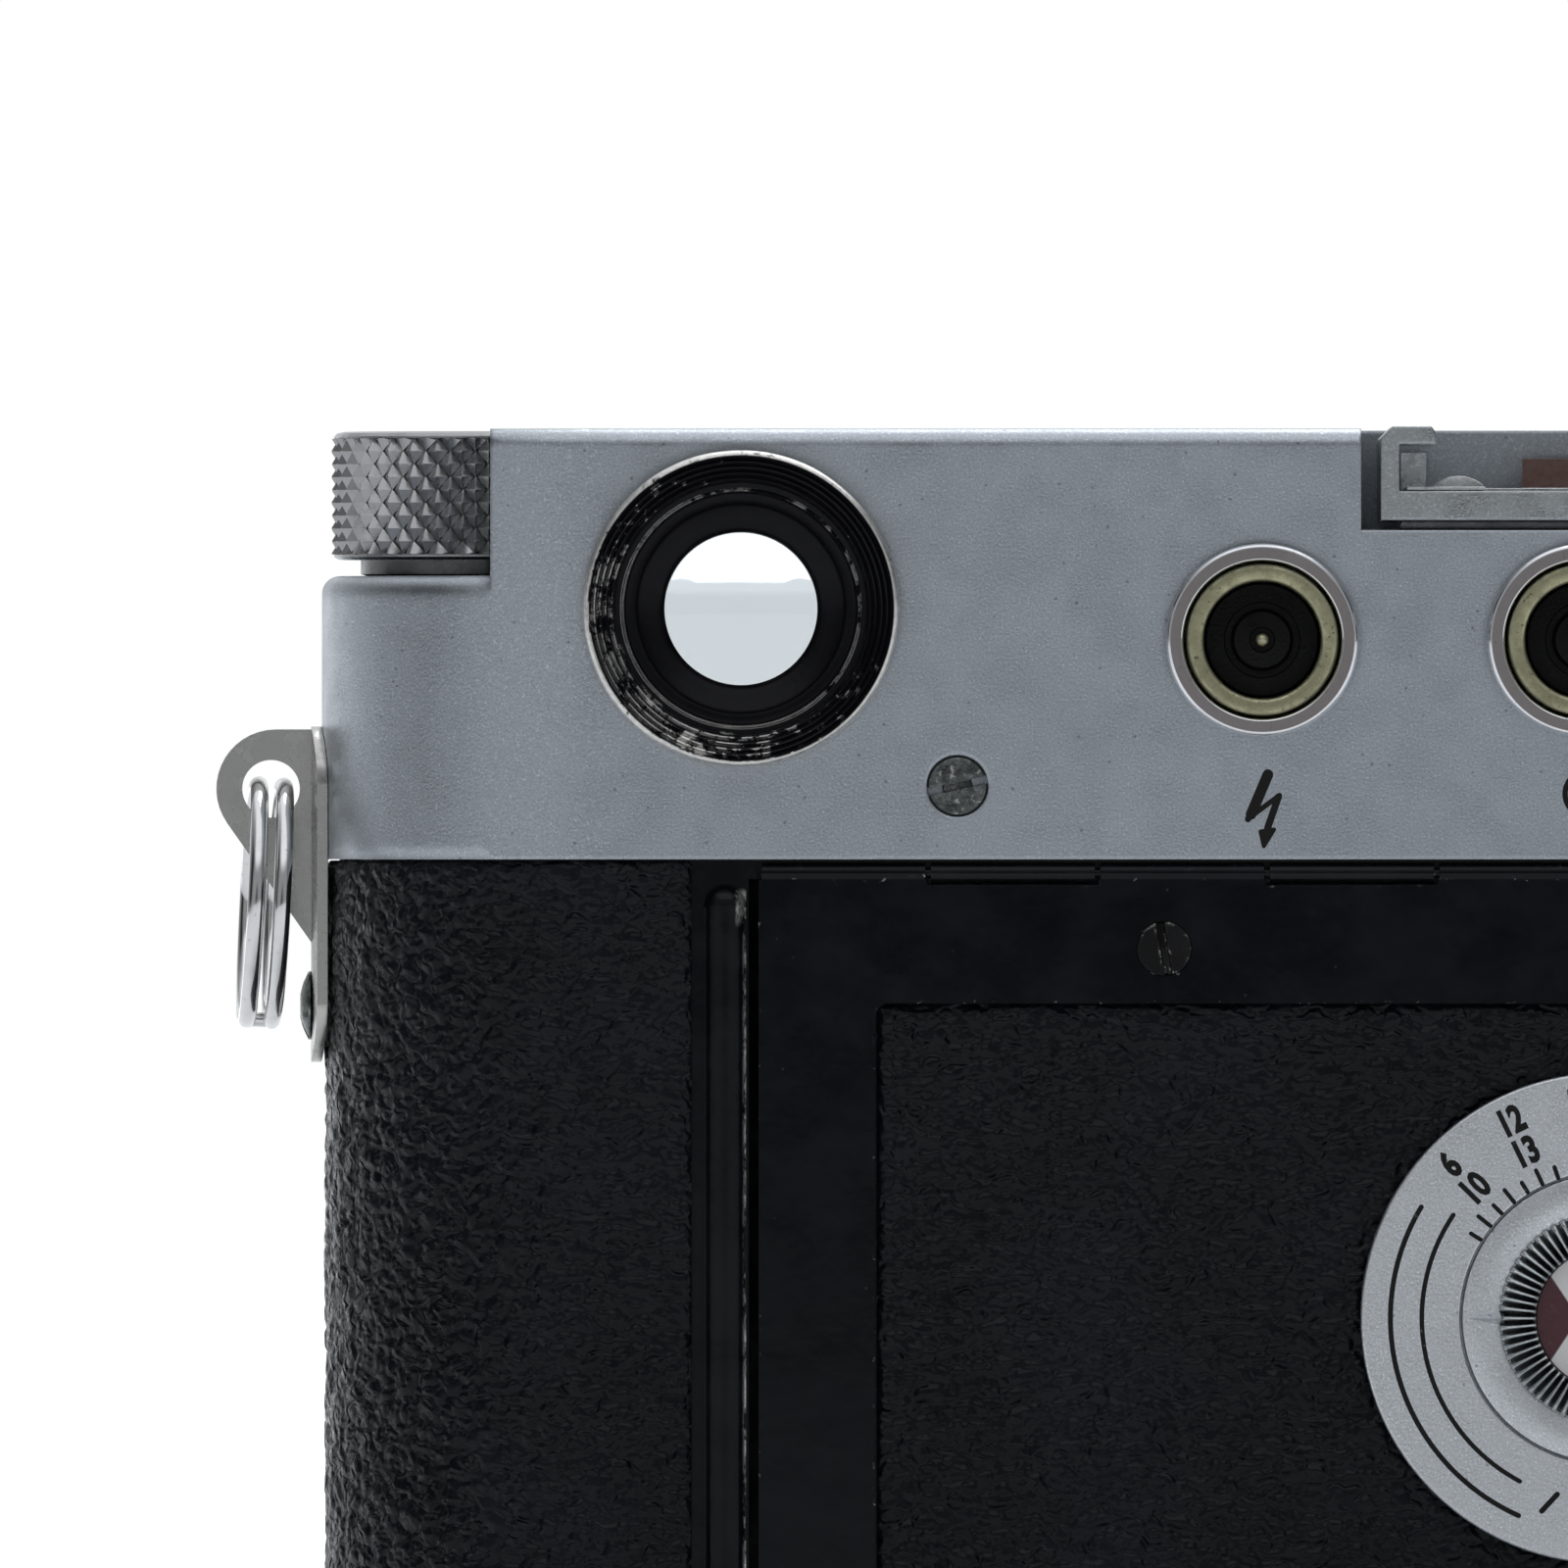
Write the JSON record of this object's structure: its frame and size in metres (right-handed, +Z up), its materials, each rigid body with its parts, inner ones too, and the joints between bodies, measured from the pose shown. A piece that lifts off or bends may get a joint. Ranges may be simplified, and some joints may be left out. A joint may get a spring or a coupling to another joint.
{
  "type": "rangefinder camera",
  "caption": "Compact 35 mm rangefinder film camera with a rounded metal body, black leather cover, hinged back door, removable base plate and short lens.",
  "frame": {"origin": "centre of the base plate's flat underside", "axes": "+X along the body towards the rewind knob, -Y along the lens axis out of the lens, +Z up towards the top cover"},
  "size_m": [0.1488, 0.0714, 0.0771],
  "materials": {
    "satin_chrome": "fine satin chrome plating",
    "bright_chrome": "polished chrome plating",
    "bright_steel": "nickel plated steel",
    "black_steel": "blackened steel",
    "black_paint": "gloss black lacquer, worn at the edges",
    "leather": "black grained leatherette",
    "cast_alloy": "cast alloy",
    "satin_alloy": "satin anodised",
    "worn_brass": "aged brass",
    "glass": "coated optical glass",
    "black_plastic": "moulded black insulator",
    "white_plastic": "printed disc",
    "curtain_cloth": "rubberised cloth"
  },
  "bodies": {
    "camera_body": {"body_shell": "black_paint", "leather_cover": "leather", "chassis": "cast_alloy", "top_cover": "satin_chrome", "mount_flange": "bright_chrome", "slotted_screws": "bright_steel", "window_bezels": "satin_chrome", "finder_windows": "glass", "illumination_window": "glass", "eyepiece_ring": "black_paint", "eyepiece_lens": "glass", "finder_optics": "glass", "socket_rings": "bright_chrome", "socket_bushes": "worn_brass", "socket_insulators": "black_plastic", "accessory_shoe": "satin_chrome", "shoe_spring": "bright_steel", "strap_lugs": "bright_steel", "hinge_pin": "bright_steel", "shutter_curtain": "curtain_cloth", "release_collar": "bright_chrome", "counter_window": "glass", "lever_bosses": "satin_chrome"},
    "base_plate": {"base_plate": "satin_chrome"},
    "lock_disc": {"lock_disc": "satin_chrome"},
    "lock_handle": {"lock_handle": "bright_chrome"},
    "back_door": {"back_door": "black_paint", "door_leather": "leather", "door_screws": "black_steel", "film_speed_scale": "satin_alloy", "film_type_disc": "white_plastic", "pressure_springs": "bright_steel"},
    "pressure_plate": {"pressure_plate": "black_steel"},
    "film_speed_pointer": {"film_speed_pointer": "satin_alloy"},
    "advance_lever": {"advance_lever": "satin_chrome", "advance_gear": "worn_brass"},
    "shutter_button": {"shutter_button": "bright_chrome"},
    "shutter_speed_dial": {"shutter_speed_dial": "satin_chrome"},
    "idler_gear": {"idler_gear": "worn_brass"},
    "sprocket": {"sprocket": "cast_alloy"},
    "take_up_spool": {"take_up_spool": "cast_alloy"},
    "curtain_drum": {"curtain_drum": "cast_alloy"},
    "curtain_roller": {"curtain_roller": "cast_alloy"},
    "rewind_shaft": {"rewind_shaft": "bright_steel"},
    "rewind_knob": {"rewind_knob": "bright_chrome"},
    "rewind_fork": {"rewind_fork": "bright_steel"},
    "rewind_release_lever": {"rewind_release_lever": "satin_chrome"},
    "self_timer_lever": {"self_timer_lever": "satin_chrome"},
    "frame_selector_lever": {"frame_selector_lever": "satin_chrome"},
    "lens_release_button": {"lens_release_button": "bright_chrome"},
    "strap_ring_rewind_end": {"strap_ring_rewind_end": "bright_steel"},
    "strap_ring_lever_end": {"strap_ring_lever_end": "bright_steel"},
    "counter_dial": {"counter_dial": "black_plastic"},
    "rangefinder_arm": {"rangefinder_arm": "worn_brass"},
    "lens_mount": {"lens_mount": "satin_chrome"},
    "focus_ring": {"focus_ring": "satin_alloy"},
    "lens_barrel": {"lens_barrel": "satin_alloy", "lens_elements": "glass", "iris_blades": "black_steel"},
    "aperture_ring": {"aperture_ring": "satin_alloy"}
  },
  "joints": [
    {"name": "base_plate_off", "type": "slide", "parent": "camera_body", "child": "base_plate", "axis": [0, 0, -1], "range_m": [0, 0.02]},
    {"name": "base_lock", "type": "hinge", "parent": "base_plate", "child": "lock_disc", "pos_m": [0.046, 0, 0.001], "axis": [0, 0, -1], "range_deg": [0, 180]},
    {"name": "lock_handle_fold", "type": "hinge", "parent": "lock_disc", "child": "lock_handle", "pos_m": [0.046, 0, 0.0007], "axis": [1, 0, 0], "range_deg": [0, 90]},
    {"name": "back_door_hinge", "type": "hinge", "parent": "camera_body", "child": "back_door", "pos_m": [0, 0.0145, 0.0543], "axis": [1, 0, 0], "range_deg": [0, 100]},
    {"name": "pressure_plate_float", "type": "slide", "parent": "back_door", "child": "pressure_plate", "axis": [0, 1, 0], "range_m": [0, 0.0003], "stiffness_N_per_m": 2000, "springref_m": -0.0005},
    {"name": "film_speed_pointer_turn", "type": "hinge", "parent": "back_door", "child": "film_speed_pointer", "pos_m": [0.00335, 0.015, 0.0316], "axis": [0, 1, 0], "continuous": true},
    {"name": "advance_stroke", "type": "hinge", "parent": "camera_body", "child": "advance_lever", "pos_m": [-0.051, 0, 0.072], "axis": [0, 0, 1], "range_deg": [0, 150], "stiffness_Nm_per_rad": 0.02, "springref_deg": -28.65},
    {"name": "idler_turn", "type": "hinge", "parent": "camera_body", "child": "idler_gear", "pos_m": [-0.03841, -0.00325, 0.0617], "axis": [0, 0, 1], "range_deg": [-338, 1]},
    {"name": "sprocket_turn", "type": "hinge", "parent": "camera_body", "child": "sprocket", "pos_m": [-0.0352, 0.0038, 0.033], "axis": [0, 0, 1], "range_deg": [-1, 361]},
    {"name": "take_up_turn", "type": "hinge", "parent": "camera_body", "child": "take_up_spool", "pos_m": [-0.051, 0, 0.033], "axis": [0, 0, 1], "range_deg": [-1, 361]},
    {"name": "curtain_drum_turn", "type": "hinge", "parent": "camera_body", "child": "curtain_drum", "pos_m": [-0.0226, 0.002, 0.033], "axis": [0, 0, 1], "range_deg": [-1, 361]},
    {"name": "curtain_roller_turn", "type": "hinge", "parent": "camera_body", "child": "curtain_roller", "pos_m": [0.033, 0.0026, 0.033], "axis": [0, 0, 1], "range_deg": [-1, 425]},
    {"name": "frame_counter", "type": "hinge", "parent": "camera_body", "child": "counter_dial", "pos_m": [-0.061, -0.004, 0.0686], "axis": [0, 0, 1], "range_deg": [-0.5, 9.5]},
    {"name": "shutter_release", "type": "slide", "parent": "camera_body", "child": "shutter_button", "axis": [0, 0, -1], "range_m": [0, 0.0018], "stiffness_N_per_m": 800, "springref_m": -0.002},
    {"name": "shutter_speed", "type": "hinge", "parent": "camera_body", "child": "shutter_speed_dial", "pos_m": [-0.0356, -0.001, 0.074], "axis": [0, 0, 1], "range_deg": [0, 300]},
    {"name": "rewind", "type": "hinge", "parent": "camera_body", "child": "rewind_shaft", "pos_m": [0.06075, 0, 0.064], "axis": [0, 0, 1], "continuous": true},
    {"name": "rewind_knob_lift", "type": "slide", "parent": "rewind_shaft", "child": "rewind_knob", "axis": [0, 0, 1], "range_m": [0, 0.008]},
    {"name": "rewind_fork_turn", "type": "hinge", "parent": "camera_body", "child": "rewind_fork", "pos_m": [0.054, 0, 0.056], "axis": [0, 0, 1], "continuous": true},
    {"name": "rewind_release", "type": "hinge", "parent": "camera_body", "child": "rewind_release_lever", "pos_m": [-0.0265, -0.017, 0.0495], "axis": [0, 1, 0], "range_deg": [0, 75]},
    {"name": "self_timer", "type": "hinge", "parent": "camera_body", "child": "self_timer_lever", "pos_m": [-0.041, -0.017, 0.042], "axis": [0, 1, 0], "range_deg": [0, 170], "stiffness_Nm_per_rad": 0.002, "springref_deg": -11.46},
    {"name": "frame_selector", "type": "hinge", "parent": "camera_body", "child": "frame_selector_lever", "pos_m": [0.036, -0.017, 0.047], "axis": [0, 1, 0], "range_deg": [-15, 15], "stiffness_Nm_per_rad": 0.01},
    {"name": "lens_release", "type": "slide", "parent": "camera_body", "child": "lens_release_button", "axis": [0, 1, 0], "range_m": [0, 0.0015], "stiffness_N_per_m": 1000, "springref_m": -0.001},
    {"name": "strap_ring_swing_rewind_end", "type": "hinge", "parent": "camera_body", "child": "strap_ring_rewind_end", "pos_m": [0.0716, 0, 0.0586], "axis": [0, -1, 0], "range_deg": [0, 160]},
    {"name": "strap_ring_swing_lever_end", "type": "hinge", "parent": "camera_body", "child": "strap_ring_lever_end", "pos_m": [-0.0716, 0, 0.0586], "axis": [0, 1, 0], "range_deg": [0, 160]},
    {"name": "rangefinder_follower", "type": "hinge", "parent": "camera_body", "child": "rangefinder_arm", "pos_m": [-0.015, -0.0092, 0.05], "axis": [0, 0, 1], "range_deg": [-8.1, 0.1]},
    {"name": "lens_bayonet", "type": "hinge", "parent": "camera_body", "child": "lens_mount", "pos_m": [0.004, -0.0183, 0.033], "axis": [0, -1, 0], "range_deg": [0, 45]},
    {"name": "focus", "type": "hinge", "parent": "lens_mount", "child": "focus_ring", "pos_m": [0.004, -0.027, 0.033], "axis": [0, -1, 0], "range_deg": [0, 150]},
    {"name": "focus_travel", "type": "slide", "parent": "lens_mount", "child": "lens_barrel", "axis": [0, -1, 0], "range_m": [-0.00001, 0.00264]},
    {"name": "aperture", "type": "hinge", "parent": "lens_barrel", "child": "aperture_ring", "pos_m": [0.004, -0.04, 0.033], "axis": [0, -1, 0], "range_deg": [0, 90]}
  ],
  "couplings": [
    {"joint": "idler_turn", "follows": "advance_stroke", "ratio": -2.25},
    {"joint": "sprocket_turn", "follows": "advance_stroke", "ratio": 2.4},
    {"joint": "take_up_turn", "follows": "advance_stroke", "ratio": 2.4},
    {"joint": "curtain_drum_turn", "follows": "advance_stroke", "ratio": 2.4},
    {"joint": "curtain_roller_turn", "follows": "advance_stroke", "ratio": 2.8235},
    {"joint": "frame_counter", "follows": "advance_stroke", "ratio": 0.06},
    {"joint": "rewind_fork_turn", "follows": "rewind", "ratio": -1},
    {"joint": "focus_travel", "follows": "focus", "m_per_rad": 0.0010046},
    {"joint": "rangefinder_follower", "follows": "focus", "ratio": -0.053}
  ]
}
